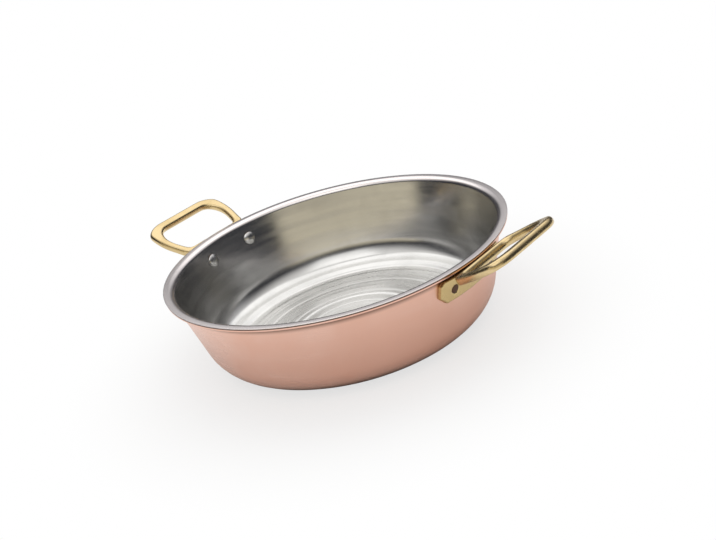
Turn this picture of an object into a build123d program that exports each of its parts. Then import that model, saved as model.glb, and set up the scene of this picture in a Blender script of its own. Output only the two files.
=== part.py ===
from build123d import *
from math import asin, cos, radians, sin, sqrt, tan
import os

# Copper serving pan with a steel lining, a flared pouring lip and two cast brass loop handles.
# Frame: origin at the centre of the base's underside, +Z up, handles on +X and -X. Millimetres.

# Pan body
rim_diameter = 240.0
pan_height = 65.0
wall_slope = 15.0
lip_overhang = 5.0
copper_thickness = 2.0
steel_thickness = 0.5
base_corner_radius = 28.0
lip_bend_radius = 2.0
lip_step = 0.3
copper_edge_radius = 0.7
steel_edge_radius = 0.2
bond_gap = 0.02

# Handle plate, curved to the wall
plate_width = 63.0
plate_height = 16.0
plate_thickness = 3.0
plate_drop = 5.5
plate_low_corner = 5.0
plate_top_corner = 2.5
plate_edge_radius = 0.6
seat_gap = 0.1

# Handle loop and web, cast in one with the plate
loop_rise = 36.0
loop_drop = 8.5
loop_reach = 45.0
loop_width = 90.0
shoulder_reach = 9.0
shoulder_width = 56.0
root_width = 27.0
loop_thickness = 6.0
bar_width = 9.5
leg_width = 9.0
web_reach = 15.0
outer_corner_radius = 17.0
hole_corner_radius = 9.0
web_corner_radius = 7.0
shoulder_radius = 8.0
root_radius = 4.0
loop_top_radius = 2.7
loop_under_radius = 1.8

# Rivets
rivet_pitch = 40.0
rivet_drop = 13.5
shank_diameter = 5.0
head_diameter = 9.5
head_height = 1.8
head_edge = 0.4
tail_diameter = 6.6
tail_recess = 0.3
tail_taper = 82.0
rivet_clearance = 0.05

# Worked out from the sizes above
slope = radians(wall_slope)
rim_radius = rim_diameter / 2
wall_thickness = copper_thickness + steel_thickness
lip_under_z = pan_height - wall_thickness
foot_radius = rim_radius - lip_overhang - lip_under_z * tan(slope)


def wall_radius(z, depth=0.0):
    """Radius of the sloping wall at height z, depth millimetres in from its outer face."""
    return foot_radius + z * tan(slope) - depth / cos(slope)


def skin_line(depth, rim):
    """The wall's line from the axis out and up to the lip, depth in from the outer face."""
    top = lip_under_z + depth
    corners = [(0, depth), (wall_radius(depth, depth), depth), (wall_radius(top, depth), top), (rim, top)]
    return FilletPolyline(*corners, radius=[base_corner_radius - depth, lip_bend_radius + depth])


def wall_section(inner, outer, rim):
    """Closed outline of one metal layer between two depths, ready to be turned round the axis."""
    low = skin_line(outer, rim)
    high = skin_line(inner, rim)
    Line(low @ 0, high @ 0)
    Line(low @ 1, high @ 1)


def rivet_plane(side, end):
    """Plane on the wall's outer face at a rivet, with its normal along the rivet and outwards."""
    z = pan_height - rivet_drop
    radius = wall_radius(z)
    turn = asin(rivet_pitch / 2 / radius)
    outward = Vector(cos(turn) * side, sin(turn) * end, 0)
    along = Vector(-outward.Y, outward.X, 0)
    normal = outward * cos(slope) - Vector(0, 0, sin(slope))
    return Plane(origin=outward * radius + Vector(0, 0, z), x_dir=along, z_dir=normal)


right_rivets = {"right_rivet_front": rivet_plane(1, -1), "right_rivet_back": rivet_plane(1, 1)}
left_rivets = {"left_rivet_front": rivet_plane(-1, -1), "left_rivet_back": rivet_plane(-1, 1)}
rivet_places = {**right_rivets, **left_rivets}
hole_radius = shank_diameter / 2 + rivet_clearance
plate_face = seat_gap + plate_thickness

# Copper shell: base, rounded corner, sloping wall and flared lip, turned in one piece
with BuildPart() as copper_shell:
    with BuildSketch(Plane.XZ):
        with BuildLine():
            wall_section(copper_thickness - bond_gap, 0, rim_radius - lip_step)
        make_face()
    revolve(axis=Axis.Z)
    rim_edges = copper_shell.edges().filter_by(GeomType.CIRCLE).sort_by(lambda edge: edge.radius)[-2:]
    fillet(rim_edges, radius=copper_edge_radius)
    for place in rivet_places.values():
        with BuildSketch(place):
            Circle(hole_radius)
        extrude(amount=3 * wall_thickness, both=True, mode=Mode.SUBTRACT)
copper_shell.part.label = "copper_shell"

# Steel lining: the inside skin, bonded to the copper and carried over the lip
with BuildPart() as steel_lining:
    with BuildSketch(Plane.XZ):
        with BuildLine():
            wall_section(wall_thickness, copper_thickness, rim_radius)
        make_face()
    revolve(axis=Axis.Z)
    rim_edges = steel_lining.edges().filter_by(GeomType.CIRCLE).sort_by(lambda edge: edge.radius)[-2:]
    fillet(rim_edges, radius=steel_edge_radius)
    for place in rivet_places.values():
        with BuildSketch(place):
            Circle(hole_radius)
        extrude(amount=3 * wall_thickness, both=True, mode=Mode.SUBTRACT)
steel_lining.part.label = "steel_lining"


def wall_band(near, far, top, low):
    """Outline of a band along the wall between two distances outside it, from height low to top."""
    Polyline(
        (wall_radius(low, -near), low),
        (wall_radius(low, -far), low),
        (wall_radius(top, -far), top),
        (wall_radius(top, -near), top),
        close=True,
    )


# Places that the handle is built from
plate_top = pan_height - plate_drop
plate_low = plate_top - plate_height
loop_root_z = pan_height - loop_drop
rise = radians(loop_rise)
loop_plane = Plane(
    origin=(wall_radius(loop_root_z, -plate_face), 0, loop_root_z),
    x_dir=(cos(rise), 0, sin(rise)),
    z_dir=(-sin(rise), 0, cos(rise)),
)
loop_up = Axis(loop_plane.origin, loop_plane.z_dir)
root_sink = plate_thickness + loop_thickness
flare = (loop_width - shoulder_width) / 2 / (loop_reach - shoulder_reach)
hole_end = loop_reach - bar_width


def leg_inside(reach):
    """Half width of the loop's hole at a distance along the loop, before its corners are rounded."""
    return shoulder_width / 2 + (reach - shoulder_reach) * flare - leg_width


# Right handle: curved plate, web and loop as one brass casting
with BuildPart() as right_handle:
    # Loop and web in plan: narrow at the root, wide at the shoulders and wider at the bar
    with BuildSketch(loop_plane):
        with BuildLine():
            outline = [
                (-root_sink, root_width / 2),
                (0, root_width / 2),
                (shoulder_reach, shoulder_width / 2),
                (loop_reach, loop_width / 2),
            ]
            far_side = [(reach, -half) for reach, half in reversed(outline)]
            FilletPolyline(
                *outline,
                *far_side,
                radius=[root_radius, shoulder_radius, outer_corner_radius]
                + [outer_corner_radius, shoulder_radius, root_radius],
            )
            Line((-root_sink, root_width / 2), (-root_sink, -root_width / 2))
        make_face()
        with BuildLine(mode=Mode.PRIVATE) as hole_line:
            FilletPolyline(
                (web_reach, leg_inside(web_reach)),
                (hole_end, leg_inside(hole_end)),
                (hole_end, -leg_inside(hole_end)),
                (web_reach, -leg_inside(web_reach)),
                radius=[web_corner_radius, hole_corner_radius, hole_corner_radius, web_corner_radius],
                close=True,
            )
        make_face(hole_line.edges(), mode=Mode.SUBTRACT)
    extrude(amount=loop_thickness / 2, both=True)
    top_face = faces().filter_by(loop_plane).sort_by(loop_up)[-1]
    fillet(top_face.edges().sort_by(Axis.X)[1:], radius=loop_top_radius)
    under_face = faces().filter_by(loop_plane).sort_by(loop_up)[0]
    fillet(under_face.edges().sort_by(Axis.X)[1:], radius=loop_under_radius)
    # Plate: a band of the wall's cone, cut to its outline as seen from the side
    with BuildPart(mode=Mode.PRIVATE) as plate:
        with BuildSketch(Plane.XZ):
            with BuildLine():
                wall_band(seat_gap, plate_face, plate_top, plate_low)
            make_face()
        revolve(axis=Axis.Z)
        with BuildSketch(Plane.YZ):
            with Locations((0, (plate_top + plate_low) / 2)):
                Rectangle(plate_width, plate_height)
            chamfer(vertices().group_by(Axis.Y)[0], length=plate_low_corner)
            chamfer(vertices().group_by(Axis.Y)[-1], length=plate_top_corner)
        extrude(amount=rim_diameter, mode=Mode.INTERSECT)
        outer_face = faces().filter_by(GeomType.CONE).sort_by(Axis.X)[-1]
        fillet(outer_face.edges(), radius=plate_edge_radius)
    add(plate.part)
    # The casting is hollowed to the wall it sits on
    with BuildSketch(Plane.XZ):
        with BuildLine():
            Polyline(
                (0, 0),
                (wall_radius(0, -seat_gap), 0),
                (wall_radius(rim_diameter, -seat_gap), rim_diameter),
                (0, rim_diameter),
                close=True,
            )
        make_face()
    revolve(axis=Axis.Z, mode=Mode.SUBTRACT)
    # Holes for the rivets, countersunk outside for their closed ends
    with Locations(*[place.offset(plate_face) for place in right_rivets.values()]):
        CounterSinkHole(
            radius=hole_radius,
            counter_sink_radius=tail_diameter / 2 + rivet_clearance,
            depth=3 * plate_thickness,
            counter_sink_angle=tail_taper,
        )
right_handle.part.label = "right_handle"

# Left handle: the same casting on the other side
with BuildPart() as left_handle:
    mirror(right_handle.part, about=Plane.YZ)
left_handle.part.label = "left_handle"

# Rivets: domed head inside the pan, shank through wall and plate, closed end in the countersink
head_radius = head_diameter / 2
shank_radius = shank_diameter / 2
tail_radius = tail_diameter / 2
lining_radius = wall_radius(pan_height - rivet_drop, wall_thickness)
head_seat = lining_radius - sqrt(lining_radius**2 - head_radius**2) + rivet_clearance
head_face = -wall_thickness - head_seat
head_tip = head_face - head_height
dome_rise = head_height - head_edge
dome_radius = (head_radius**2 + dome_rise**2) / (2 * dome_rise)
tail_face = plate_face - tail_recess
tail_start = plate_face - (tail_radius - shank_radius) / tan(radians(tail_taper / 2))


# One rivet, turned about its own axis, with its origin on the wall's outer face
with BuildPart() as rivet_form:
    with BuildSketch(Plane.XZ):
        with BuildLine():
            Polyline(
                (0, tail_face),
                (tail_radius - tail_recess, tail_face),
                (shank_radius, tail_start),
                (shank_radius, head_face),
                (head_radius, head_face),
                (head_radius, head_face - head_edge),
            )
            ThreePointArc(
                (head_radius, head_face - head_edge),
                (head_radius / 2, head_tip + dome_radius - sqrt(dome_radius**2 - head_radius**2 / 4)),
                (0, head_tip),
            )
            Line((0, head_tip), (0, tail_face))
        make_face()
    revolve(axis=Axis.Z)

os.makedirs("parts", exist_ok=True)
for piece in (copper_shell, steel_lining, left_handle, right_handle):
    export_step(piece.part, f"parts/{piece.part.label}.step")
for name, place in rivet_places.items():
    with BuildPart() as rivet:
        with Locations(place):
            add(rivet_form.part)
    rivet.part.label = name
    export_step(rivet.part, f"parts/{name}.step")
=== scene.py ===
import math

import bmesh
import bpy
import numpy as np
from mathutils import Matrix, Vector


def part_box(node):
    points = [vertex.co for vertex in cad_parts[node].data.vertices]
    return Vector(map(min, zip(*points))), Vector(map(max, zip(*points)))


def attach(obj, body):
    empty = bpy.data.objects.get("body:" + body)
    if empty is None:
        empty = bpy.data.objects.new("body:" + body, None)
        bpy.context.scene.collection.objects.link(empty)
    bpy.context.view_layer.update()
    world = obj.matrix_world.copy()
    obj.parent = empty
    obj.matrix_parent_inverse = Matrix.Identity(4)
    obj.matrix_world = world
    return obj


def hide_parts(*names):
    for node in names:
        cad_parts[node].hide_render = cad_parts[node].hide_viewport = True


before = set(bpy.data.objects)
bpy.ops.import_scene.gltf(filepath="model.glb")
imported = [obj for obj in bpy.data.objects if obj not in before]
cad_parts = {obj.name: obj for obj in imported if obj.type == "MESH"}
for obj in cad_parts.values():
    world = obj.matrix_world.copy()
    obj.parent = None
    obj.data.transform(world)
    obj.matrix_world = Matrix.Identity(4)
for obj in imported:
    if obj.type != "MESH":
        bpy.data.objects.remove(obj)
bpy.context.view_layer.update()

bl_info = {
    "name": "Copper Serving Pan",
    "version": (1, 0, 0),
    "blender": (4, 5, 0),
    "location": "View3D > Sidebar > Serving Pan",
    "description": "Builds a copper serving pan with a steel lining and two cast brass handles",
    "category": "Object",
}

MM = 0.001
BODY = "root"
RIVET_NODES = ("left_rivet_front", "left_rivet_back", "right_rivet_front", "right_rivet_back")

# Places read from the frame
SHELL_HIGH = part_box("copper_shell")[1]
LINING_LOW, LINING_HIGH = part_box("steel_lining")
PAN_HEIGHT = LINING_HIGH.z
RIM_RADIUS = LINING_HIGH.x
COPPER_RADIUS = SHELL_HIGH.x
COPPER_WALL = LINING_LOW.z

# Bands of finish, painted shade and painted highlight on the metals, from where each starts to
# where it is full
# Painted shade along the joint under the lip
JOINT_SHADE_BELOW_LIP = (1.6 * MM, 0.9 * MM)
JOINT_SHADE_INSIDE_RIM = (1.5 * MM, 0.8 * MM)
# Painted shade under the lip
PAINTED_SHADE_UNDER_LIP = (8.5 * MM, 4.0 * MM)
PAINTED_SHADE_INSIDE_RIM = 1.6 * MM
# Painted shade at the foot of the wall
PAINTED_SHADE_AT_FOOT = (11.0 * MM, 2.0 * MM)
# Painted highlight over the top of the lip
PAINTED_HIGHLIGHT_BELOW_LIP = (3.5 * MM, 1.5 * MM)
SPUN_ABOVE_BASE = (12.0 * MM, 4.0 * MM)
SPUN_RADIUS = (5.0 * MM, 45.0 * MM)
# Painted shade on the handle plates near the wall
PLATE_SHADE_REACH = 4.0 * MM
RIVET_HEADS_INSIDE = 5.0 * MM

# Bent path of the loop's middle line: its length, and how many points it is worked out at
PATH_LENGTH = 60.0 * MM
PATH_STEPS = 241

# Studio as the metals see it: edges as cosines to the front direction and as sines of height
FRONT_DIRECTION = (0.47, -0.88)
FRONT_EDGE = (0.50, 0.62)
FRONT_TOP = (0.42, 0.22)
BEHIND_EDGE = (-0.2, -0.8)
BEHIND_LOW = (0.25, 0.45)
BEHIND_STRENGTH = 0.7
CEILING_EDGE = (0.42, 0.80)

# Lamps: where each stands and how wide it is
KEY_PLACE, KEY_SIZE = (-0.35, 0.45, 1.1), (1.7, 1.3)
FILL_PLACE, FILL_SIZE = (0.5, -0.6, 1.2), (1.1, 1.1)
STAGE_CENTRE = (0.0, 0.0, 0.04)

# Floor: its size, its depth under the base, and radii where its shadow and its reflection fade
FLOOR_SIZE = 1.3
FLOOR_DEPTH = 0.2 * MM
SHADOW_FADE = (0.10, 0.22)
SHADOW_LIFT = 0.72
SWEEP_FADE = (0.085, 0.20)
SWEEP_GLOW = 0.85


class PanSizes(bpy.types.PropertyGroup):
    """Sizes of the turned pan body"""

    wall_slope: bpy.props.FloatProperty(
        name="Wall slope", description="Lean of the wall from upright",
        default=math.radians(15.0), subtype="ANGLE")
    neck_radius: bpy.props.FloatProperty(
        name="Neck radius", description="Outside radius where the wall meets the lip",
        default=115.0 * MM, unit="LENGTH")
    steel_wall: bpy.props.FloatProperty(
        name="Steel thickness", description="Thickness of the lining",
        default=0.5 * MM, unit="LENGTH")
    base_corner: bpy.props.FloatProperty(
        name="Base corner", description="Outside radius between base and wall",
        default=28.0 * MM, unit="LENGTH")
    lip_bend: bpy.props.FloatProperty(
        name="Lip bend", description="Radius under the lip",
        default=2.0 * MM, unit="LENGTH")
    copper_edge: bpy.props.FloatProperty(
        name="Copper edge", description="Rounding of the copper's edge",
        default=0.7 * MM, unit="LENGTH")
    steel_edge: bpy.props.FloatProperty(
        name="Steel edge", description="Rounding of the lining's edge",
        default=0.24 * MM, unit="LENGTH")
    steps: bpy.props.IntProperty(
        name="Steps", description="Steps in a full turn of the body", default=288, min=24)


class HandleSizes(bpy.types.PropertyGroup):
    """Form of the loops as seen, and how finely the cast handles are made"""

    root_height: bpy.props.FloatProperty(
        name="Root height", description="Height of the loop's root",
        default=56.5 * MM, unit="LENGTH")
    plate_face: bpy.props.FloatProperty(
        name="Plate face", description="Plate's outer face from the wall",
        default=3.1 * MM, unit="LENGTH")
    cad_rise: bpy.props.FloatProperty(
        name="CAD rise", description="Loop's slope in the CAD mesh",
        default=math.radians(36.0), subtype="ANGLE")
    cad_web_edge: bpy.props.FloatProperty(
        name="CAD web edge", description="Where the hole starts in the CAD mesh",
        default=15.0 * MM, unit="LENGTH")
    cad_bar_inside: bpy.props.FloatProperty(
        name="CAD bar inside", description="Where the hole ends in the CAD mesh",
        default=35.5 * MM, unit="LENGTH")
    cad_bar_outside: bpy.props.FloatProperty(
        name="CAD bar outside", description="Where the loop ends in the CAD mesh",
        default=45.0 * MM, unit="LENGTH")
    cad_leg: bpy.props.FloatProperty(
        name="CAD leg", description="Width of a leg in the CAD mesh",
        default=9.0 * MM, unit="LENGTH")
    cad_half_thickness: bpy.props.FloatProperty(
        name="CAD half thickness",
        description="Reach of the loop to either side of its middle plane in the CAD mesh",
        default=3.4 * MM, unit="LENGTH")
    shoulder_reach: bpy.props.FloatProperty(
        name="Shoulder reach", description="Where the loop's shoulders are along it",
        default=9.0 * MM, unit="LENGTH")
    shoulder_inside: bpy.props.FloatProperty(
        name="Shoulder inside", description="Half the space between the legs at the shoulders",
        default=19.0 * MM, unit="LENGTH")
    flare: bpy.props.FloatProperty(
        name="Flare", description="How far each leg spreads for its length", default=0.472)
    rise: bpy.props.FloatProperty(
        name="Rise", description="Loop's slope as seen",
        default=math.radians(24.5), subtype="ANGLE")
    bend_start: bpy.props.FloatProperty(
        name="Bend start", description="Where the loop starts to leave its slope in the CAD mesh",
        default=2.5 * MM, unit="LENGTH")
    bend_length: bpy.props.FloatProperty(
        name="Bend length", description="Length in which it reaches its slope as seen",
        default=8.0 * MM, unit="LENGTH")
    web_edge: bpy.props.FloatProperty(
        name="Web edge", description="Where the hole starts along the loop",
        default=9.5 * MM, unit="LENGTH")
    bar_inside: bpy.props.FloatProperty(
        name="Bar inside", description="Where the hole ends along the loop",
        default=40.5 * MM, unit="LENGTH")
    bar_outside: bpy.props.FloatProperty(
        name="Bar outside", description="Where the loop ends",
        default=48.5 * MM, unit="LENGTH")
    leg_slimming: bpy.props.FloatProperty(
        name="Leg slimming", description="How much thinner the legs are than in the CAD mesh",
        default=2.0 * MM, unit="LENGTH")
    voxel: bpy.props.FloatProperty(
        name="Voxel", description="Grain of the handle's mesh",
        default=0.45 * MM, unit="LENGTH")
    plate_clearance: bpy.props.FloatProperty(
        name="Plate clearance", description="Distance out from the rim where rounding starts",
        default=4.0 * MM, unit="LENGTH")
    slimming_run: bpy.props.FloatProperty(
        name="Slimming run", description="Length in which slimming comes in",
        default=8.0 * MM, unit="LENGTH")
    slimming: bpy.props.FloatProperty(
        name="Slimming", description="How far polishing has drawn in the loop's surface",
        default=0.2 * MM, unit="LENGTH")
    rounding: bpy.props.IntProperty(
        name="Rounding", description="Passes that round the loop's bars", default=24, min=0)
    smoothing: bpy.props.IntProperty(
        name="Smoothing", description="Passes that round the casting's edges", default=6, min=0)


class RivetSizes(bpy.types.PropertyGroup):
    """Sizes of one rivet"""

    shank_radius: bpy.props.FloatProperty(
        name="Shank radius", description="Radius of the rivet's shank",
        default=2.5 * MM, unit="LENGTH")
    head_radius: bpy.props.FloatProperty(
        name="Head radius", description="Radius of the head inside the pan",
        default=4.75 * MM, unit="LENGTH")
    head_height: bpy.props.FloatProperty(
        name="Head height", description="Height of the head inside the pan",
        default=1.8 * MM, unit="LENGTH")
    head_edge: bpy.props.FloatProperty(
        name="Head edge", description="Upright edge of the head",
        default=0.4 * MM, unit="LENGTH")
    tail_radius: bpy.props.FloatProperty(
        name="Tail radius", description="Radius of the closed end in the plate",
        default=3.0 * MM, unit="LENGTH")
    tail_depth: bpy.props.FloatProperty(
        name="Tail depth", description="Depth of the closed end's taper",
        default=1.0 * MM, unit="LENGTH")
    tail_edge: bpy.props.FloatProperty(
        name="Tail edge", description="Rounding of the closed end's edge",
        default=0.15 * MM, unit="LENGTH")
    tail_crown: bpy.props.FloatProperty(
        name="Tail crown", description="Crown of the closed end", default=0.12 * MM, unit="LENGTH")
    drop: bpy.props.FloatProperty(
        name="Drop", description="Rivet's height below the lip", default=13.5 * MM, unit="LENGTH")
    pitch: bpy.props.FloatProperty(
        name="Pitch", description="Distance between a handle's two rivets",
        default=40.0 * MM, unit="LENGTH")
    reach: bpy.props.FloatProperty(
        name="Reach", description="Closed end's distance out from the wall",
        default=2.85 * MM, unit="LENGTH")
    seat: bpy.props.FloatProperty(
        name="Seat", description="Head's distance in from the wall's outer face",
        default=2.66 * MM, unit="LENGTH")
    steps: bpy.props.IntProperty(
        name="Steps", description="Steps in a full turn of a rivet", default=48, min=12)


class Finishes(bpy.types.PropertyGroup):
    """Colours of the metals"""

    copper: bpy.props.FloatVectorProperty(
        name="Copper", description="Colour of the copper", subtype="COLOR", size=4,
        default=(0.91, 0.60, 0.49, 1.0))
    copper_warm: bpy.props.FloatVectorProperty(
        name="Warm copper", description="Colour where the copper has warmed",
        subtype="COLOR", size=4, default=(0.89, 0.545, 0.425, 1.0))
    steel: bpy.props.FloatVectorProperty(
        name="Steel", description="Colour of the lining", subtype="COLOR", size=4,
        default=(0.74, 0.735, 0.72, 1.0))
    steel_dull: bpy.props.FloatVectorProperty(
        name="Dull steel", description="Colour of the lining where it is rubbed",
        subtype="COLOR", size=4, default=(0.66, 0.655, 0.64, 1.0))
    # Painted highlight: a lighter, pinker steel over the top of the lip
    steel_lip_highlight: bpy.props.FloatVectorProperty(
        name="Steel lip", description="Colour of the lining where it is polished over the lip",
        subtype="COLOR", size=4, default=(0.86, 0.80, 0.785, 1.0))
    brass: bpy.props.FloatVectorProperty(
        name="Brass", description="Colour of the handles", subtype="COLOR", size=4,
        default=(0.75, 0.585, 0.325, 1.0))
    # Also the colour of the painted shade on the plates next to the wall
    brass_deep: bpy.props.FloatVectorProperty(
        name="Deep brass", description="Colour in the casting's hollows", subtype="COLOR", size=4,
        default=(0.60, 0.455, 0.21, 1.0))
    # Colour of the painted shade along the copper's joint, under the lip and at the foot; also the
    # dark colour of the rivets' closed ends
    tarnish_and_shade: bpy.props.FloatVectorProperty(
        name="Tarnish", description="Colour of dark joints and rivet ends", subtype="COLOR", size=4,
        default=(0.10, 0.055, 0.035, 1.0))


class StageSettings(bpy.types.PropertyGroup):
    """Camera, floor and light"""

    azimuth: bpy.props.FloatProperty(
        name="Azimuth", description="Camera's turn round the pan",
        default=math.radians(46.0), subtype="ANGLE")
    elevation: bpy.props.FloatProperty(
        name="Elevation", description="Camera's height angle",
        default=math.radians(20.75), subtype="ANGLE")
    roll: bpy.props.FloatProperty(
        name="Roll", description="Camera's tilt about its own axis",
        default=math.radians(15.5), subtype="ANGLE")
    pan_aim: bpy.props.FloatProperty(
        name="Sideways aim", description="Camera's turn off the rim's centre",
        default=math.radians(1.36), subtype="ANGLE")
    tilt_aim: bpy.props.FloatProperty(
        name="Upward aim", description="Camera's tilt off the rim's centre",
        default=math.radians(1.52), subtype="ANGLE")
    distance: bpy.props.FloatProperty(
        name="Distance", description="From the camera to the rim's centre",
        default=0.72, unit="LENGTH")
    lens: bpy.props.FloatProperty(
        name="Lens", description="Focal length in millimetres", default=52.98, unit="CAMERA")
    floor_colour: bpy.props.FloatVectorProperty(
        name="Floor", description="Colour of the floor", subtype="COLOR", size=4,
        default=(0.93, 0.93, 0.93, 1.0))
    room_colour: bpy.props.FloatVectorProperty(
        name="Room", description="Colour of the dim room that the metals reflect",
        subtype="COLOR", size=4, default=(0.045, 0.046, 0.052, 1.0))
    behind_colour: bpy.props.FloatVectorProperty(
        name="Light behind", description="Colour of the light behind the pan",
        subtype="COLOR", size=4, default=(0.95, 0.95, 0.97, 1.0))
    front_colour: bpy.props.FloatVectorProperty(
        name="Front wall", description="Colour of the wall in front of the pan",
        subtype="COLOR", size=4, default=(0.66, 0.60, 0.46, 1.0))
    ceiling_colour: bpy.props.FloatVectorProperty(
        name="Ceiling", description="Colour of the ceiling",
        subtype="COLOR", size=4, default=(0.80, 0.79, 0.78, 1.0))
    key_power: bpy.props.FloatProperty(
        name="Key power", description="Power of the main lamp", default=4.0, unit="POWER")
    fill_power: bpy.props.FloatProperty(
        name="Fill power", description="Power of the second lamp", default=2.0, unit="POWER")


def settings(name):
    """The named settings group of the scene."""
    return getattr(bpy.context.scene, name)


# Node helpers

def add_node(tree, kind, label="", **values):
    """A new node with its properties set, and its inputs by name where the name is one."""
    node = tree.nodes.new(kind)
    node.label = label
    for key, value in values.items():
        if hasattr(node, key):
            setattr(node, key, value)
        else:
            node.inputs[key.replace("_", " ")].default_value = value
    return node


def maths(tree, operation, first, second=None, third=None, clamp=False):
    """The output of one Math node."""
    node = tree.nodes.new("ShaderNodeMath")
    node.operation = operation
    node.use_clamp = clamp
    for place, value in enumerate((first, second, third)):
        if value is None:
            continue
        if isinstance(value, (int, float)):
            node.inputs[place].default_value = value
        else:
            tree.links.new(value, node.inputs[place])
    return node.outputs[0]


def blend_colours(tree, factor, first, second):
    """The colour output of one Mix node."""
    node = tree.nodes.new("ShaderNodeMix")
    node.data_type = "RGBA"
    # A Mix node has its two colours at inputs 6 and 7, and their blend at output 2
    for place, value in ((0, factor), (6, first), (7, second)):
        if hasattr(value, "links"):
            tree.links.new(value, node.inputs[place])
        else:
            node.inputs[place].default_value = value
    return node.outputs[2]


def stretch(tree, value, low, high, new_low=0.0, new_high=1.0):
    """The value taken from one range to another and held inside it."""
    node = tree.nodes.new("ShaderNodeMapRange")
    node.interpolation_type = "SMOOTHSTEP"
    tree.links.new(value, node.inputs["Value"])
    ends = {"From Min": low, "From Max": high, "To Min": new_low, "To Max": new_high}
    for name, number in ends.items():
        node.inputs[name].default_value = number
    return node.outputs[0]


def socket_axes(tree, socket):
    """The three parts of a vector socket."""
    axes = tree.nodes.new("ShaderNodeSeparateXYZ")
    tree.links.new(socket, axes.inputs[0])
    return axes.outputs


def flat_length(tree, across, along):
    """Length of a flat vector from its two parts."""
    squares = maths(tree, "ADD", maths(tree, "MULTIPLY", across, across),
                    maths(tree, "MULTIPLY", along, along))
    return maths(tree, "SQRT", squares)


def radius_and_height(tree):
    """Distance from the pan's axis and height, from the object's own coordinates."""
    place = tree.nodes.new("ShaderNodeTexCoord")
    east, north, high = socket_axes(tree, place.outputs["Object"])
    return flat_length(tree, east, north), high


def below(tree, value, top, band, most=1.0):
    """How far a value has come up through a band that is measured down from the top."""
    return stretch(tree, value, top - band[0], top - band[1], 0.0, most)


def new_group(name, inputs, outputs):
    """An empty shader group with number sockets, and its two end nodes."""
    tree = bpy.data.node_groups.new(name, "ShaderNodeTree")
    for label, value in inputs.items():
        socket = tree.interface.new_socket(
            name=label, in_out="INPUT", socket_type="NodeSocketFloat")
        socket.default_value = value
    for label in outputs:
        tree.interface.new_socket(name=label, in_out="OUTPUT", socket_type="NodeSocketFloat")
    return tree, tree.nodes.new("NodeGroupInput"), tree.nodes.new("NodeGroupOutput")


def turned_lines_group():
    """Fine rings left by turning and polishing round the pan's axis."""
    tree, start, end = new_group(
        "Turned lines",
        {"Lines per metre": 2600.0, "Bands per metre": 160.0, "Sweep": 1.6, "Unevenness": 0.5},
        ["Height", "Broad"])
    place = tree.nodes.new("ShaderNodeTexCoord")
    east, north, high = socket_axes(tree, place.outputs["Object"])
    along = maths(tree, "ADD", flat_length(tree, east, north), high)
    turn = maths(tree, "ARCTAN2", north, east)
    # The turn is taken as a point on a circle, so that the rings have no seam
    side = maths(tree, "MULTIPLY", maths(tree, "COSINE", turn), start.outputs["Sweep"])
    front = maths(tree, "MULTIPLY", maths(tree, "SINE", turn), start.outputs["Sweep"])
    noises = []
    for label, density, detail, rough in (("rings", "Lines per metre", 3.0, 0.7),
                                          ("bands", "Bands per metre", 2.0, 0.5)):
        spot = tree.nodes.new("ShaderNodeCombineXYZ")
        run = maths(tree, "MULTIPLY", along, start.outputs[density])
        for number, socket in enumerate((run, side, front)):
            tree.links.new(socket, spot.inputs[number])
        noise = add_node(tree, "ShaderNodeTexNoise", label,
                         Scale=1.0, Detail=detail, Roughness=rough)
        tree.links.new(spot.outputs[0], noise.inputs["Vector"])
        noises.append(noise)
    rings, bands = noises
    mixed = maths(tree, "MULTIPLY_ADD", maths(tree, "SUBTRACT", bands.outputs[0], 0.5),
                  start.outputs["Unevenness"], rings.outputs[0])
    tree.links.new(mixed, end.inputs["Height"])
    tree.links.new(bands.outputs[0], end.inputs["Broad"])
    return tree


def handling_group():
    """Soft smudges and small scratches from use."""
    tree, start, end = new_group(
        "Handling marks", {"Smudge scale": 18.0, "Scratch scale": 160.0}, ["Smudge", "Scratch"])
    place = tree.nodes.new("ShaderNodeTexCoord")
    smudge = add_node(tree, "ShaderNodeTexNoise", "smudges",
                      Detail=4.0, Roughness=0.55, Distortion=0.6)
    tree.links.new(place.outputs["Object"], smudge.inputs["Vector"])
    tree.links.new(start.outputs["Smudge scale"], smudge.inputs["Scale"])
    warp = add_node(tree, "ShaderNodeTexNoise", "scratch warp", Detail=2.0)
    tree.links.new(place.outputs["Object"], warp.inputs["Vector"])
    broad = maths(tree, "MULTIPLY", start.outputs["Scratch scale"], 0.4)
    tree.links.new(broad, warp.inputs["Scale"])
    lines = add_node(tree, "ShaderNodeTexVoronoi", "scratches", feature="DISTANCE_TO_EDGE")
    bent = tree.nodes.new("ShaderNodeVectorMath")
    bent.operation = "MULTIPLY_ADD"
    tree.links.new(warp.outputs["Color"], bent.inputs[0])
    bent.inputs[1].default_value = (0.012, 0.012, 0.012)
    tree.links.new(place.outputs["Object"], bent.inputs[2])
    tree.links.new(bent.outputs[0], lines.inputs["Vector"])
    tree.links.new(start.outputs["Scratch scale"], lines.inputs["Scale"])
    tree.links.new(smudge.outputs[0], end.inputs["Smudge"])
    scratch = stretch(tree, lines.outputs["Distance"], 0.0, 0.02, 1.0, 0.0)
    tree.links.new(scratch, end.inputs["Scratch"])
    return tree


def place_group(tree, group, **values):
    """A shader group placed in a material, with its own values."""
    node = tree.nodes.new("ShaderNodeGroup")
    node.node_tree = group
    for key, value in values.items():
        node.inputs[key.replace("_", " ")].default_value = value
    return node


def new_material(name):
    """The tree of a new material, and its Principled shader, joined to the output."""
    material = bpy.data.materials.new(name)
    material.use_nodes = True
    tree = material.node_tree
    tree.nodes.clear()
    shader = tree.nodes.new("ShaderNodeBsdfPrincipled")
    out = tree.nodes.new("ShaderNodeOutputMaterial")
    tree.links.new(shader.outputs[0], out.inputs[0])
    shader.inputs["Metallic"].default_value = 1.0
    return tree, shader


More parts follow.
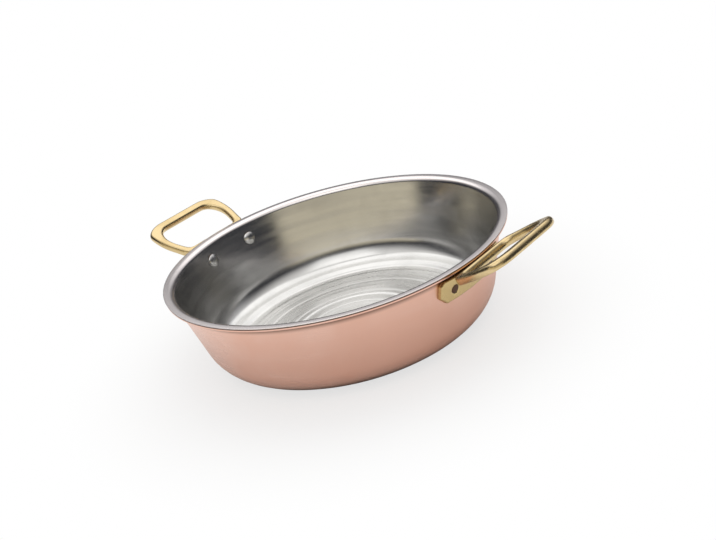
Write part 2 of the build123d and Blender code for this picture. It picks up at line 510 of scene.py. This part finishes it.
def raise_bump(tree, shader, height, strength, distance):
    """A Bump node from a height to the shader's normal."""
    bump = add_node(tree, "ShaderNodeBump", "bump", Strength=strength, Distance=distance)
    tree.links.new(height, bump.inputs["Height"])
    tree.links.new(bump.outputs[0], shader.inputs["Normal"])


def copper_material(groups):
    """Satin copper with fine turned rings and smudges, with painted shade along the joint, under
    the lip and at the foot.
    """
    look = settings("pan_finishes")
    tree, shader = new_material("satin_copper")
    lines = place_group(tree, groups["lines"], Lines_per_metre=1900.0, Sweep=1.2, Unevenness=0.7)
    marks = place_group(tree, groups["marks"], Smudge_scale=16.0, Scratch_scale=120.0)
    radius, height = radius_and_height(tree)
    warm = stretch(tree, marks.outputs["Smudge"], 0.35, 0.7)
    base = blend_colours(tree, warm, look.copper, look.copper_warm)
    warm = stretch(tree, lines.outputs["Broad"], 0.35, 0.65, 0.0, 0.35)
    base = blend_colours(tree, warm, base, look.copper_warm)
    # Painted shade in the groove at the joint between copper and lining, a dark line at the lip
    joint_shade = maths(tree, "MULTIPLY", below(tree, height, PAN_HEIGHT, JOINT_SHADE_BELOW_LIP),
                  below(tree, radius, COPPER_RADIUS, JOINT_SHADE_INSIDE_RIM))
    base = blend_colours(tree, joint_shade, base, look.tarnish_and_shade)
    # Painted shade under the lip's overhang, where the copper is darkened to brown
    under = maths(tree, "MULTIPLY", below(tree, height, PAN_HEIGHT, PAINTED_SHADE_UNDER_LIP, 0.8),
                  maths(tree, "LESS_THAN", radius, COPPER_RADIUS - PAINTED_SHADE_INSIDE_RIM))
    base = blend_colours(tree, under, base, look.tarnish_and_shade)
    # Painted shade darkens the foot of the wall towards the base
    foot = stretch(tree, height, *PAINTED_SHADE_AT_FOOT, 0.0, 0.8)
    base = blend_colours(tree, foot, base, look.tarnish_and_shade)
    tree.links.new(base, shader.inputs["Base Color"])
    rough = maths(tree, "MULTIPLY_ADD", lines.outputs["Height"], 0.14,
                  stretch(tree, marks.outputs["Smudge"], 0.3, 0.7, 0.20, 0.27))
    tree.links.new(rough, shader.inputs["Roughness"])
    shader.inputs["Anisotropic"].default_value = 0.45
    raise_bump(tree, shader, lines.outputs["Height"], 0.05, 0.05 * MM)


def steel_material(groups):
    """Bright lining with turned lines, rubbed patches, spun rings on its base and a painted
    highlight on the lip.
    """
    look = settings("pan_finishes")
    tree, shader = new_material("turned_steel")
    lines = place_group(tree, groups["lines"], Lines_per_metre=2400.0, Sweep=1.8, Unevenness=0.9)
    marks = place_group(tree, groups["marks"], Smudge_scale=22.0, Scratch_scale=90.0)
    radius, height = radius_and_height(tree)
    rubbed = stretch(tree, marks.outputs["Smudge"], 0.4, 0.7)
    base = blend_colours(tree, rubbed, look.steel, look.steel_dull)
    # Painted highlight: the lining is lighter and pinker over the top of the lip
    lip = below(tree, height, PAN_HEIGHT, PAINTED_HIGHLIGHT_BELOW_LIP)
    base = blend_colours(tree, lip, base, look.steel_lip_highlight)
    tree.links.new(base, shader.inputs["Base Color"])
    rough = maths(tree, "MULTIPLY_ADD", lines.outputs["Height"], 0.08,
                  stretch(tree, lines.outputs["Broad"], 0.3, 0.7, 0.14, 0.19))
    flat = stretch(tree, height, *SPUN_ABOVE_BASE)
    rough = maths(tree, "MULTIPLY_ADD", flat, 0.06, rough)
    tree.links.new(rough, shader.inputs["Roughness"])
    shader.inputs["Anisotropic"].default_value = 0.5
    # Spinning leaves wide, shallow rings on the base
    rings = add_node(tree, "ShaderNodeTexNoise", "spun rings",
                     noise_dimensions="1D", Scale=85.0, Detail=1.5)
    tree.links.new(radius, rings.inputs["W"])
    spun = maths(tree, "MULTIPLY", flat, stretch(tree, radius, *SPUN_RADIUS, 0.25, 1.0))
    relief = maths(tree, "MULTIPLY_ADD", maths(tree, "MULTIPLY", rings.outputs[0], spun), 55.0,
                   maths(tree, "MULTIPLY", lines.outputs["Height"], 0.05))
    raise_bump(tree, shader, relief, 0.5, 0.12 * MM)


def brass_material(groups):
    """Polished cast brass with soft unevenness, darker hollows and painted shade on the plate."""
    look = settings("pan_finishes")
    tree, shader = new_material("cast_brass")
    marks = place_group(tree, groups["marks"], Smudge_scale=60.0, Scratch_scale=260.0)
    dull = stretch(tree, marks.outputs["Smudge"], 0.35, 0.7, 0.0, 0.45)
    base = blend_colours(tree, dull, look.brass, look.brass_deep)
    shape = tree.nodes.new("ShaderNodeNewGeometry")
    hollow = stretch(tree, shape.outputs["Pointiness"], 0.49, 0.42)
    base = blend_colours(tree, hollow, base, look.brass_deep)
    # Painted shade on the plate, darkest against the wall
    radius = radius_and_height(tree)[0]
    plate = stretch(tree, radius, COPPER_RADIUS + PLATE_SHADE_REACH, COPPER_RADIUS, 0.0, 0.75)
    base = blend_colours(tree, plate, base, look.brass_deep)
    tree.links.new(base, shader.inputs["Base Color"])
    rough = maths(tree, "MULTIPLY_ADD", marks.outputs["Scratch"], 0.12,
                  stretch(tree, marks.outputs["Smudge"], 0.3, 0.7, 0.20, 0.32))
    tree.links.new(rough, shader.inputs["Roughness"])
    grain = add_node(tree, "ShaderNodeTexNoise", "casting", Scale=160.0, Detail=2.0, Roughness=0.5)
    place = tree.nodes.new("ShaderNodeTexCoord")
    tree.links.new(place.outputs["Object"], grain.inputs["Vector"])
    raise_bump(tree, shader, grain.outputs[0], 0.15, 0.25 * MM)


def rivet_material(groups):
    """Polished steel heads inside the pan, dark closed ends outside it."""
    look = settings("pan_finishes")
    sizes = settings("pan_sizes")
    tree, shader = new_material("rivet_metal")
    marks = place_group(tree, groups["marks"], Smudge_scale=90.0, Scratch_scale=500.0)
    radius = radius_and_height(tree)[0]
    outside = maths(tree, "GREATER_THAN", radius, sizes.neck_radius - RIVET_HEADS_INSIDE)
    head = blend_colours(tree, marks.outputs["Smudge"], look.steel, look.steel_dull)
    base = blend_colours(tree, outside, head, look.tarnish_and_shade)
    tree.links.new(base, shader.inputs["Base Color"])
    rough = stretch(tree, marks.outputs["Smudge"], 0.3, 0.7, 0.18, 0.34)
    tree.links.new(rough, shader.inputs["Roughness"])
    raise_bump(tree, shader, marks.outputs["Smudge"], 0.15, 0.1 * MM)


def metal(name):
    """A material of the pan, made with all the others on first use."""
    if name not in bpy.data.materials:
        groups = {"lines": turned_lines_group(), "marks": handling_group()}
        for build in (copper_material, steel_material, brass_material, rivet_material):
            build(groups)
    return bpy.data.materials[name]


# Shape helpers

def new_object(name, data):
    """A new object of the scene."""
    thing = bpy.data.objects.new(name, data)
    bpy.context.scene.collection.objects.link(thing)
    return thing


def edit_mesh(mesh, change):
    """Change a mesh by a function that works on its bmesh."""
    work = bmesh.new()
    work.from_mesh(mesh)
    change(work)
    work.to_mesh(mesh)
    work.free()


def take_mesh(thing):
    """The plain mesh that an object's modifiers make; the object is removed."""
    bpy.context.view_layer.update()
    graph = bpy.context.evaluated_depsgraph_get()
    mesh = bpy.data.meshes.new_from_object(thing.evaluated_get(graph))
    thing.modifiers.clear()
    bpy.data.objects.remove(thing)
    return mesh


def rounded_path(corners, radii, step=math.radians(7.0)):
    """Points along straight runs joined by tangent arcs, one radius for each inner corner."""
    points = [Vector(corners[0])]
    for before, corner, after, radius in zip(corners, corners[1:], corners[2:], radii):
        before, corner, after = Vector(before), Vector(corner), Vector(after)
        come, leave = (corner - before).normalized(), (after - corner).normalized()
        turn = come.angle(leave)
        cut = radius * math.tan(turn / 2)
        start, end = corner - come * cut, corner + leave * cut
        side = 1.0 if come.x * leave.y - come.y * leave.x > 0 else -1.0
        centre = start + Vector((-come.y, come.x)) * side * radius
        spoke = start - centre
        count = max(3, math.ceil(turn / step))
        for number in range(count + 1):
            angle = side * turn * number / count
            points.append(centre + Vector((spoke.x * math.cos(angle) - spoke.y * math.sin(angle),
                                           spoke.x * math.sin(angle) + spoke.y * math.cos(angle))))
        points[-1] = end
    points.append(Vector(corners[-1]))
    return points


def wall_radius(z, depth):
    """Radius of the sloping wall at height z, a depth in from its outer face."""
    sizes = settings("pan_sizes")
    lip_under = PAN_HEIGHT - COPPER_WALL - sizes.steel_wall
    slope = sizes.wall_slope
    return sizes.neck_radius - (lip_under - z) * math.tan(slope) - depth / math.cos(slope)


def layer_outline(outer, inner, rim, edge):
    """Outline of one metal layer from the axis, out round the lip and back to the axis."""
    sizes = settings("pan_sizes")
    lip_under = PAN_HEIGHT - COPPER_WALL - sizes.steel_wall
    corners = [
        (0, outer),
        (wall_radius(outer, outer), outer),
        (wall_radius(lip_under + outer, outer), lip_under + outer),
        (rim, lip_under + outer),
        (rim, lip_under + inner),
        (wall_radius(lip_under + inner, inner), lip_under + inner),
        (wall_radius(inner, inner), inner),
        (0, inner),
    ]
    radii = [sizes.base_corner - outer, sizes.lip_bend + outer, edge, edge,
             sizes.lip_bend + inner, sizes.base_corner - inner]
    return rounded_path(corners, radii)


def outline_object(name, points):
    """A chain of points in the XZ plane, as an object for a geometry tree to turn."""
    mesh = bpy.data.meshes.new(name)
    edges = [(number, number + 1) for number in range(len(points) - 1)]
    mesh.from_pydata([(point.x, 0.0, point.y) for point in points], edges, [])
    return new_object(name, mesh)


def turning_nodes(tree, outline, steps):
    """Nodes that turn a chain of points round the Z axis, and the socket of the closed form."""
    links = tree.links
    count = tree.nodes.new("GeometryNodeAttributeDomainSize")
    links.new(outline, count.inputs[0])
    columns = maths(tree, "ADD", steps, 1.0)
    grid = tree.nodes.new("GeometryNodeMeshGrid")
    links.new(count.outputs["Point Count"], grid.inputs["Vertices X"])
    links.new(columns, grid.inputs["Vertices Y"])
    index = tree.nodes.new("GeometryNodeInputIndex")
    middle = maths(tree, "ADD", index.outputs[0], 0.5)
    row = maths(tree, "FLOOR", maths(tree, "DIVIDE", middle, columns))
    column = maths(tree, "SUBTRACT", index.outputs[0], maths(tree, "MULTIPLY", row, columns))
    angle = maths(tree, "MULTIPLY", maths(tree, "DIVIDE", column, steps), 2 * math.pi)
    sample = add_node(tree, "GeometryNodeSampleIndex", data_type="FLOAT_VECTOR", domain="POINT")
    position = tree.nodes.new("GeometryNodeInputPosition")
    links.new(outline, sample.inputs["Geometry"])
    links.new(position.outputs[0], sample.inputs["Value"])
    links.new(row, sample.inputs["Index"])
    spin = tree.nodes.new("ShaderNodeVectorRotate")
    spin.rotation_type = "Z_AXIS"
    links.new(sample.outputs[0], spin.inputs["Vector"])
    links.new(angle, spin.inputs["Angle"])
    place = tree.nodes.new("GeometryNodeSetPosition")
    links.new(grid.outputs["Mesh"], place.inputs["Geometry"])
    links.new(spin.outputs[0], place.inputs["Position"])
    merge = add_node(tree, "GeometryNodeMergeByDistance", Distance=0.002 * MM)
    links.new(place.outputs[0], merge.inputs[0])
    smooth = tree.nodes.new("GeometryNodeSetShadeSmooth")
    links.new(merge.outputs[0], smooth.inputs[0])
    return smooth.outputs[0]


def new_shape_tree(name, inputs):
    """An empty geometry tree with a geometry input and output, and its two end nodes."""
    tree = bpy.data.node_groups.new(name, "GeometryNodeTree")
    tree.interface.new_socket(name="Geometry", in_out="INPUT", socket_type="NodeSocketGeometry")
    for label, kind in inputs:
        tree.interface.new_socket(name=label, in_out="INPUT", socket_type=kind)
    tree.interface.new_socket(name="Geometry", in_out="OUTPUT", socket_type="NodeSocketGeometry")
    return tree, tree.nodes.new("NodeGroupInput"), tree.nodes.new("NodeGroupOutput")


def finish_shape(tree, shape, material, end):
    """Realize Instances and Set Material, the last nodes of every geometry tree here."""
    real = tree.nodes.new("GeometryNodeRealizeInstances")
    paint = tree.nodes.new("GeometryNodeSetMaterial")
    tree.links.new(shape, real.inputs[0])
    tree.links.new(real.outputs[0], paint.inputs[0])
    tree.links.new(material, paint.inputs["Material"])
    tree.links.new(paint.outputs[0], end.inputs[0])


def turned_form_tree():
    """Geometry tree for a form turned round the Z axis from its outline."""
    found = bpy.data.node_groups.get("Turned form")
    if found:
        return found
    tree, start, end = new_shape_tree(
        "Turned form", [("Steps", "NodeSocketInt"), ("Material", "NodeSocketMaterial")])
    shape = turning_nodes(tree, start.outputs["Geometry"], start.outputs["Steps"])
    finish_shape(tree, shape, start.outputs["Material"], end)
    return tree


def rivets_tree():
    """Geometry tree that turns one rivet and places a copy at each point, along its aim."""
    tree, start, end = new_shape_tree(
        "Placed rivets", [("Steps", "NodeSocketInt"), ("Places", "NodeSocketObject"),
                          ("Material", "NodeSocketMaterial")])
    shape = turning_nodes(tree, start.outputs["Geometry"], start.outputs["Steps"])
    places = tree.nodes.new("GeometryNodeObjectInfo")
    tree.links.new(start.outputs["Places"], places.inputs["Object"])
    aim = add_node(tree, "GeometryNodeInputNamedAttribute", data_type="FLOAT_VECTOR", Name="aim")
    lean = tree.nodes.new("FunctionNodeAlignRotationToVector")
    lean.axis = "Z"
    tree.links.new(aim.outputs[0], lean.inputs["Vector"])
    copies = tree.nodes.new("GeometryNodeInstanceOnPoints")
    tree.links.new(places.outputs["Geometry"], copies.inputs["Points"])
    tree.links.new(shape, copies.inputs["Instance"])
    tree.links.new(lean.outputs[0], copies.inputs["Rotation"])
    finish_shape(tree, copies.outputs[0], start.outputs["Material"], end)
    return tree


def apply_tree(thing, tree, name, **values):
    """The plain mesh piece that a geometry tree makes of an object, which is then removed."""
    modifier = thing.modifiers.new("shape", "NODES")
    modifier.node_group = tree
    for item in tree.interface.items_tree:
        if item.in_out == "INPUT" and item.name in values:
            modifier[item.identifier] = values[item.name]
    mesh = take_mesh(thing)
    mesh.name = name
    edit_mesh(mesh, lambda work: bmesh.ops.recalc_face_normals(work, faces=work.faces))
    return new_object(name, mesh)


def hand_over(piece, slot, *nodes):
    """The finished piece stands for its CAD nodes and rides on the pan."""
    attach(piece, BODY)
    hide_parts(*nodes)


def turned_piece(name, points, material, slot, node):
    """One turned layer of the pan, made from its outline."""
    outline = outline_object(name + "_outline", points)
    piece = apply_tree(outline, turned_form_tree(), name,
                       Steps=settings("pan_sizes").steps, Material=metal(material))
    hand_over(piece, slot, node)


class PAN_OT_copper_shell(bpy.types.Operator):
    """Turn the copper shell from its outline"""

    bl_idname = "pan.copper_shell"
    bl_label = "Copper Shell"

    def execute(self, context):
        points = layer_outline(0.0, COPPER_WALL, COPPER_RADIUS, settings("pan_sizes").copper_edge)
        turned_piece("copper_body", points, "satin_copper", "copper", "copper_shell")
        return {"FINISHED"}


class PAN_OT_steel_lining(bpy.types.Operator):
    """Turn the steel lining from its outline"""

    bl_idname = "pan.steel_lining"
    bl_label = "Steel Lining"

    def execute(self, context):
        sizes = settings("pan_sizes")
        inside = COPPER_WALL + sizes.steel_wall
        points = layer_outline(COPPER_WALL, inside, RIM_RADIUS, sizes.steel_edge)
        turned_piece("bright_lining", points, "turned_steel", "lining", "steel_lining")
        return {"FINISHED"}


def seen_path(sizes):
    """The loop's middle line as seen: lengths along it, its angle there, and how far out and up."""
    lengths = np.linspace(0.0, PATH_LENGTH, PATH_STEPS)
    share = np.clip((lengths - sizes.bend_start) / sizes.bend_length, 0.0, 1.0)
    angles = sizes.cad_rise + (sizes.rise - sizes.cad_rise) * share * share * (3 - 2 * share)
    step = lengths[1]
    outs = np.concatenate([[0.0], np.cumsum(np.cos(angles[:-1]))]) * step
    ups = np.concatenate([[0.0], np.cumsum(np.sin(angles[:-1]))]) * step
    return lengths, angles, outs, ups


def thin_legs(sizes, reach, wide):
    """Distances from the loop's middle, with each leg's inner side moved out."""
    span = np.clip(reach, sizes.cad_web_edge, sizes.cad_bar_inside) - sizes.shoulder_reach
    inner = sizes.shoulder_inside + span * sizes.flare
    gain, leg = sizes.leg_slimming, sizes.cad_leg
    thinned = inner + gain + (wide - inner) * (leg - gain) / leg
    moved = np.where(wide < inner, wide * (inner + gain) / inner, thinned)
    return np.where(wide > inner + leg, wide, moved)


def open_loop(mesh, side):
    """Bend the loop to its seen rise, and move its hole's edges, from the form in the CAD mesh."""
    sizes = settings("handle_sizes")
    points = np.empty(len(mesh.vertices) * 3)
    mesh.vertices.foreach_get("co", points)
    points = points.reshape(-1, 3)
    rise = sizes.cad_rise
    root_x = wall_radius(sizes.root_height, -sizes.plate_face)
    out, up = points[:, 0] * side - root_x, points[:, 2] - sizes.root_height
    along = out * math.cos(rise) + up * math.sin(rise)
    across = up * math.cos(rise) - out * math.sin(rise)
    loop = (along > sizes.bend_start) & (np.abs(across) < sizes.cad_half_thickness)
    reach, rest = along[loop], across[loop]
    seen = np.interp(
        reach, [sizes.bend_start, sizes.cad_web_edge, sizes.cad_bar_inside, sizes.cad_bar_outside],
        [sizes.bend_start, sizes.web_edge, sizes.bar_inside, sizes.bar_outside])
    lengths, angles, outs, ups = seen_path(sizes)
    turn = np.interp(seen, lengths, angles)
    wide = points[loop, 1]
    points[loop, 0] = (root_x + np.interp(seen, lengths, outs) - np.sin(turn) * rest) * side
    points[loop, 1] = np.sign(wide) * thin_legs(sizes, reach, np.abs(wide))
    points[loop, 2] = sizes.root_height + np.interp(seen, lengths, ups) + np.cos(turn) * rest
    mesh.vertices.foreach_set("co", points.ravel())
    mesh.update()


def round_loop(work):
    """Round the loop's bars and draw them in a little, well clear of the plate and its rivets."""
    sizes = settings("handle_sizes")
    start = COPPER_RADIUS + sizes.plate_clearance
    loop = [point for point in work.verts if abs(point.co.x) > start]
    for _ in range(sizes.rounding):
        bmesh.ops.smooth_vert(
            work, verts=loop, factor=0.5, use_axis_x=True, use_axis_y=True, use_axis_z=True)
    work.normal_update()
    for point in loop:
        reach = abs(point.co.x) - start
        point.co -= point.normal * sizes.slimming * min(reach / sizes.slimming_run, 1.0)


def cast_handle(node, name):
    """A handle with the casting's soft edges, made from a copy of its CAD mesh."""
    sizes = settings("handle_sizes")
    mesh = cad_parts[node].data.copy()
    mesh.materials.clear()
    edit_mesh(mesh, lambda work: bmesh.ops.remove_doubles(work, verts=work.verts, dist=0.001 * MM))
    rough = new_object(name + "_rough", mesh)
    even = rough.modifiers.new("even", "REMESH")
    even.mode = "VOXEL"
    even.voxel_size = sizes.voxel
    even.use_smooth_shade = True
    soft = rough.modifiers.new("soft", "SMOOTH")
    soft.factor = 0.5
    soft.iterations = sizes.smoothing
    cast = take_mesh(rough)
    open_loop(cast, -1.0 if node.startswith("left") else 1.0)
    edit_mesh(cast, round_loop)
    cast.materials.clear()
    cast.materials.append(metal("cast_brass"))
    cast.name = name
    piece = new_object(name, cast)
    hand_over(piece, "brass", node)


class PAN_OT_brass_handles(bpy.types.Operator):
    """Make the two cast brass handles"""

    bl_idname = "pan.brass_handles"
    bl_label = "Brass Handles"

    def execute(self, context):
        cast_handle("left_handle", "left_brass_handle")
        cast_handle("right_handle", "right_brass_handle")
        return {"FINISHED"}


def rivet_outline():
    """Outline of one rivet, from the middle of its head to the middle of its closed end."""
    sizes = settings("rivet_sizes")
    tip = -sizes.seat - sizes.head_height
    edge = -sizes.seat - sizes.head_edge * 0.5
    rise = sizes.head_height - sizes.head_edge
    dome = (sizes.head_radius ** 2 + rise ** 2) / (2 * rise)
    points, rings = [], 12
    # The dome stops just inside the head's edge, and a short slope joins the two
    for number in range(rings + 1):
        radius = sizes.head_radius * 0.96 * number / rings
        points.append(Vector((radius, tip + dome - math.sqrt(dome ** 2 - radius ** 2))))
    points += [Vector(corner) for corner in (
        (sizes.head_radius, edge),
        (sizes.head_radius * 0.98, -sizes.seat),
        (sizes.shank_radius, -sizes.seat),
        (sizes.shank_radius, sizes.reach - sizes.tail_depth),
        (sizes.tail_radius, sizes.reach - sizes.tail_edge),
    )]
    for share in (0.92, 0.75, 0.5, 0.25, 0.0):
        crown = sizes.reach + sizes.tail_crown * (1 - share ** 2)
        points.append(Vector((sizes.tail_radius * share, crown)))
    return points


def rivet_places():
    """A point for each rivet on the wall's outer face, with an aim along the rivet and outwards."""
    sizes, rivets = settings("pan_sizes"), settings("rivet_sizes")
    slope, height = sizes.wall_slope, PAN_HEIGHT - rivets.drop
    radius = wall_radius(height, 0.0)
    turn = math.asin(rivets.pitch / 2 / radius)
    spots, aims = [], []
    for side in (-1, 1):
        for end in (-1, 1):
            out = Vector((math.cos(turn) * side, math.sin(turn) * end, 0.0))
            spots.append(out * radius + Vector((0.0, 0.0, height)))
            aims.append(out * math.cos(slope) - Vector((0.0, 0.0, math.sin(slope))))
    mesh = bpy.data.meshes.new("rivet_places")
    mesh.from_pydata(spots, [], [])
    attribute = mesh.attributes.new("aim", "FLOAT_VECTOR", "POINT")
    for number, aim in enumerate(aims):
        attribute.data[number].vector = aim
    return new_object("rivet_places", mesh)


class PAN_OT_rivets(bpy.types.Operator):
    """Place the four rivets that hold the handles"""

    bl_idname = "pan.rivets"
    bl_label = "Rivets"

    def execute(self, context):
        places = rivet_places()
        outline = outline_object("rivet_outline", rivet_outline())
        piece = apply_tree(outline, rivets_tree(), "rivets", Steps=settings("rivet_sizes").steps,
                           Places=places, Material=metal("rivet_metal"))
        bpy.data.objects.remove(places)
        hand_over(piece, "rivet", *RIVET_NODES)
        return {"FINISHED"}


# Stage

def mix_shaders(tree, factor, first, second, output):
    """Two shaders mixed into the tree's output node."""
    mix, end = tree.nodes.new("ShaderNodeMixShader"), tree.nodes.new(output)
    for number, socket in enumerate((factor, first.outputs[0], second.outputs[0])):
        tree.links.new(socket, mix.inputs[number])
    tree.links.new(mix.outputs[0], end.inputs[0])


def floor_material():
    """Pale floor that keeps the pan's shadow near it and fades to the white background."""
    material = bpy.data.materials.new("pale_floor")
    material.use_nodes = True
    tree = material.node_tree
    tree.nodes.clear()
    matt = add_node(tree, "ShaderNodeBsdfDiffuse", Color=settings("pan_stage").floor_colour)
    glow = add_node(tree, "ShaderNodeEmission", Color=(1.0, 1.0, 1.0, 1.0), Strength=1.0)
    radius = radius_and_height(tree)[0]
    ray = tree.nodes.new("ShaderNodeLightPath")
    far = stretch(tree, radius, *SHADOW_FADE, SHADOW_LIFT, 1.0)
    far = maths(tree, "MULTIPLY", far, ray.outputs["Is Camera Ray"])
    # Polished metal sees a lighter floor round the pan, as in a white sweep
    sweep = stretch(tree, radius, *SWEEP_FADE, 0.0, SWEEP_GLOW)
    sweep = maths(tree, "MULTIPLY", sweep, ray.outputs["Is Glossy Ray"])
    glowing = maths(tree, "ADD", sweep, far, clamp=True)
    mix_shaders(tree, glowing, matt, glow, "ShaderNodeOutputMaterial")
    return material


def stage_floor():
    """The floor just under the pan's base."""
    half = FLOOR_SIZE / 2
    mesh = bpy.data.meshes.new("floor")
    mesh.from_pydata([(-half, -half, 0), (half, -half, 0), (half, half, 0), (-half, half, 0)],
                     [], [(0, 1, 2, 3)])
    mesh.materials.append(floor_material())
    panel = new_object("floor", mesh)
    panel.location = (0.0, 0.0, -FLOOR_DEPTH)


def studio_world():
    """White to the camera, and to all else a dim room with a ceiling, a front wall and a light."""
    stage = settings("pan_stage")
    world = bpy.data.worlds.new("studio")
    bpy.context.scene.world = world
    world.use_nodes = True
    tree = world.node_tree
    tree.nodes.clear()
    place = tree.nodes.new("ShaderNodeTexCoord")
    east, north, high = socket_axes(tree, place.outputs["Generated"])
    toward = maths(tree, "ADD", maths(tree, "MULTIPLY", east, FRONT_DIRECTION[0]),
                   maths(tree, "MULTIPLY", north, FRONT_DIRECTION[1]))
    flat = maths(tree, "MAXIMUM", flat_length(tree, east, north), 0.001)
    front = maths(tree, "DIVIDE", toward, flat)
    wall = maths(tree, "MULTIPLY", stretch(tree, front, *FRONT_EDGE),
                 stretch(tree, high, *FRONT_TOP))
    behind = maths(tree, "MULTIPLY", stretch(tree, front, *BEHIND_EDGE),
                   stretch(tree, high, *BEHIND_LOW))
    behind = maths(tree, "MULTIPLY", behind, BEHIND_STRENGTH)
    colour = blend_colours(tree, behind, stage.room_colour, stage.behind_colour)
    colour = blend_colours(tree, wall, colour, stage.front_colour)
    colour = blend_colours(tree, stretch(tree, high, *CEILING_EDGE), colour, stage.ceiling_colour)
    room = tree.nodes.new("ShaderNodeBackground")
    tree.links.new(colour, room.inputs["Color"])
    white = add_node(tree, "ShaderNodeBackground", Color=(1.0, 1.0, 1.0, 1.0))
    ray = tree.nodes.new("ShaderNodeLightPath")
    mix_shaders(tree, ray.outputs["Is Camera Ray"], room, white, "ShaderNodeOutputWorld")


def area_light(name, place, size, power):
    """A soft rectangular lamp that faces the pan."""
    data = bpy.data.lights.new(name, "AREA")
    data.shape = "RECTANGLE"
    data.size, data.size_y = size
    data.energy = power
    lamp = new_object(name, data)
    lamp.location = place
    aim = Vector(STAGE_CENTRE) - Vector(place)
    lamp.rotation_euler = aim.to_track_quat("-Z", "Y").to_euler()


def photo_camera():
    """The camera at the photograph's viewing angle."""
    stage = settings("pan_stage")
    azimuth, elevation = stage.azimuth, stage.elevation
    level_run = math.cos(elevation)
    back = Vector((math.sin(azimuth) * level_run, -math.cos(azimuth) * level_run,
                   math.sin(elevation)))
    right = Vector((0, 0, 1)).cross(back).normalized()
    up = back.cross(right)
    level = Matrix((right, up, back))
    turn = Matrix.Rotation(stage.tilt_aim, 3, "X") @ Matrix.Rotation(stage.pan_aim, 3, "Y")
    turn = turn @ Matrix.Rotation(stage.roll, 3, "Z") @ level
    data = bpy.data.cameras.new("camera")
    data.sensor_width = 36.0
    data.lens = stage.lens
    data.clip_start = 0.01
    camera = new_object("camera", data)
    place = back * stage.distance + Vector((0, 0, PAN_HEIGHT))
    camera.matrix_world = Matrix.Translation(place) @ turn.transposed().to_4x4()
    bpy.context.scene.camera = camera


class PAN_OT_stage(bpy.types.Operator):
    """Set the floor, the lights and the camera"""

    bl_idname = "pan.stage"
    bl_label = "Stage"

    def execute(self, context):
        stage = settings("pan_stage")
        bpy.context.scene.view_settings.view_transform = "Standard"
        stage_floor()
        studio_world()
        area_light("key", KEY_PLACE, KEY_SIZE, stage.key_power)
        area_light("fill", FILL_PLACE, FILL_SIZE, stage.fill_power)
        photo_camera()
        return {"FINISHED"}


class PAN_PT_sidebar(bpy.types.Panel):
    """Sizes, finishes and build steps of the serving pan"""

    bl_label = "Serving Pan"
    bl_idname = "PAN_PT_sidebar"
    bl_space_type = "VIEW_3D"
    bl_region_type = "UI"
    bl_category = "Serving Pan"

    def draw(self, context):
        for name, group in GROUPS.items():
            box = self.layout.box()
            for key in group.__annotations__:
                box.prop(getattr(context.scene, name), key)
        for step in STEPS:
            self.layout.operator(step.bl_idname)


GROUPS = {
    "pan_sizes": PanSizes,
    "handle_sizes": HandleSizes,
    "rivet_sizes": RivetSizes,
    "pan_finishes": Finishes,
    "pan_stage": StageSettings,
}
STEPS = (
    PAN_OT_copper_shell,
    PAN_OT_steel_lining,
    PAN_OT_brass_handles,
    PAN_OT_rivets,
    PAN_OT_stage,
)


def register():
    for name, group in GROUPS.items():
        bpy.utils.register_class(group)
        setattr(bpy.types.Scene, name, bpy.props.PointerProperty(type=group))
    for step in STEPS:
        bpy.utils.register_class(step)
    bpy.utils.register_class(PAN_PT_sidebar)


def unregister():
    bpy.utils.unregister_class(PAN_PT_sidebar)
    for step in reversed(STEPS):
        bpy.utils.unregister_class(step)
    for name, group in reversed(list(GROUPS.items())):
        delattr(bpy.types.Scene, name)
        bpy.utils.unregister_class(group)


def main():
    register()
    bpy.ops.pan.copper_shell()
    bpy.ops.pan.steel_lining()
    bpy.ops.pan.brass_handles()
    bpy.ops.pan.rivets()
    bpy.ops.pan.stage()


if __name__ == "__main__":
    main()
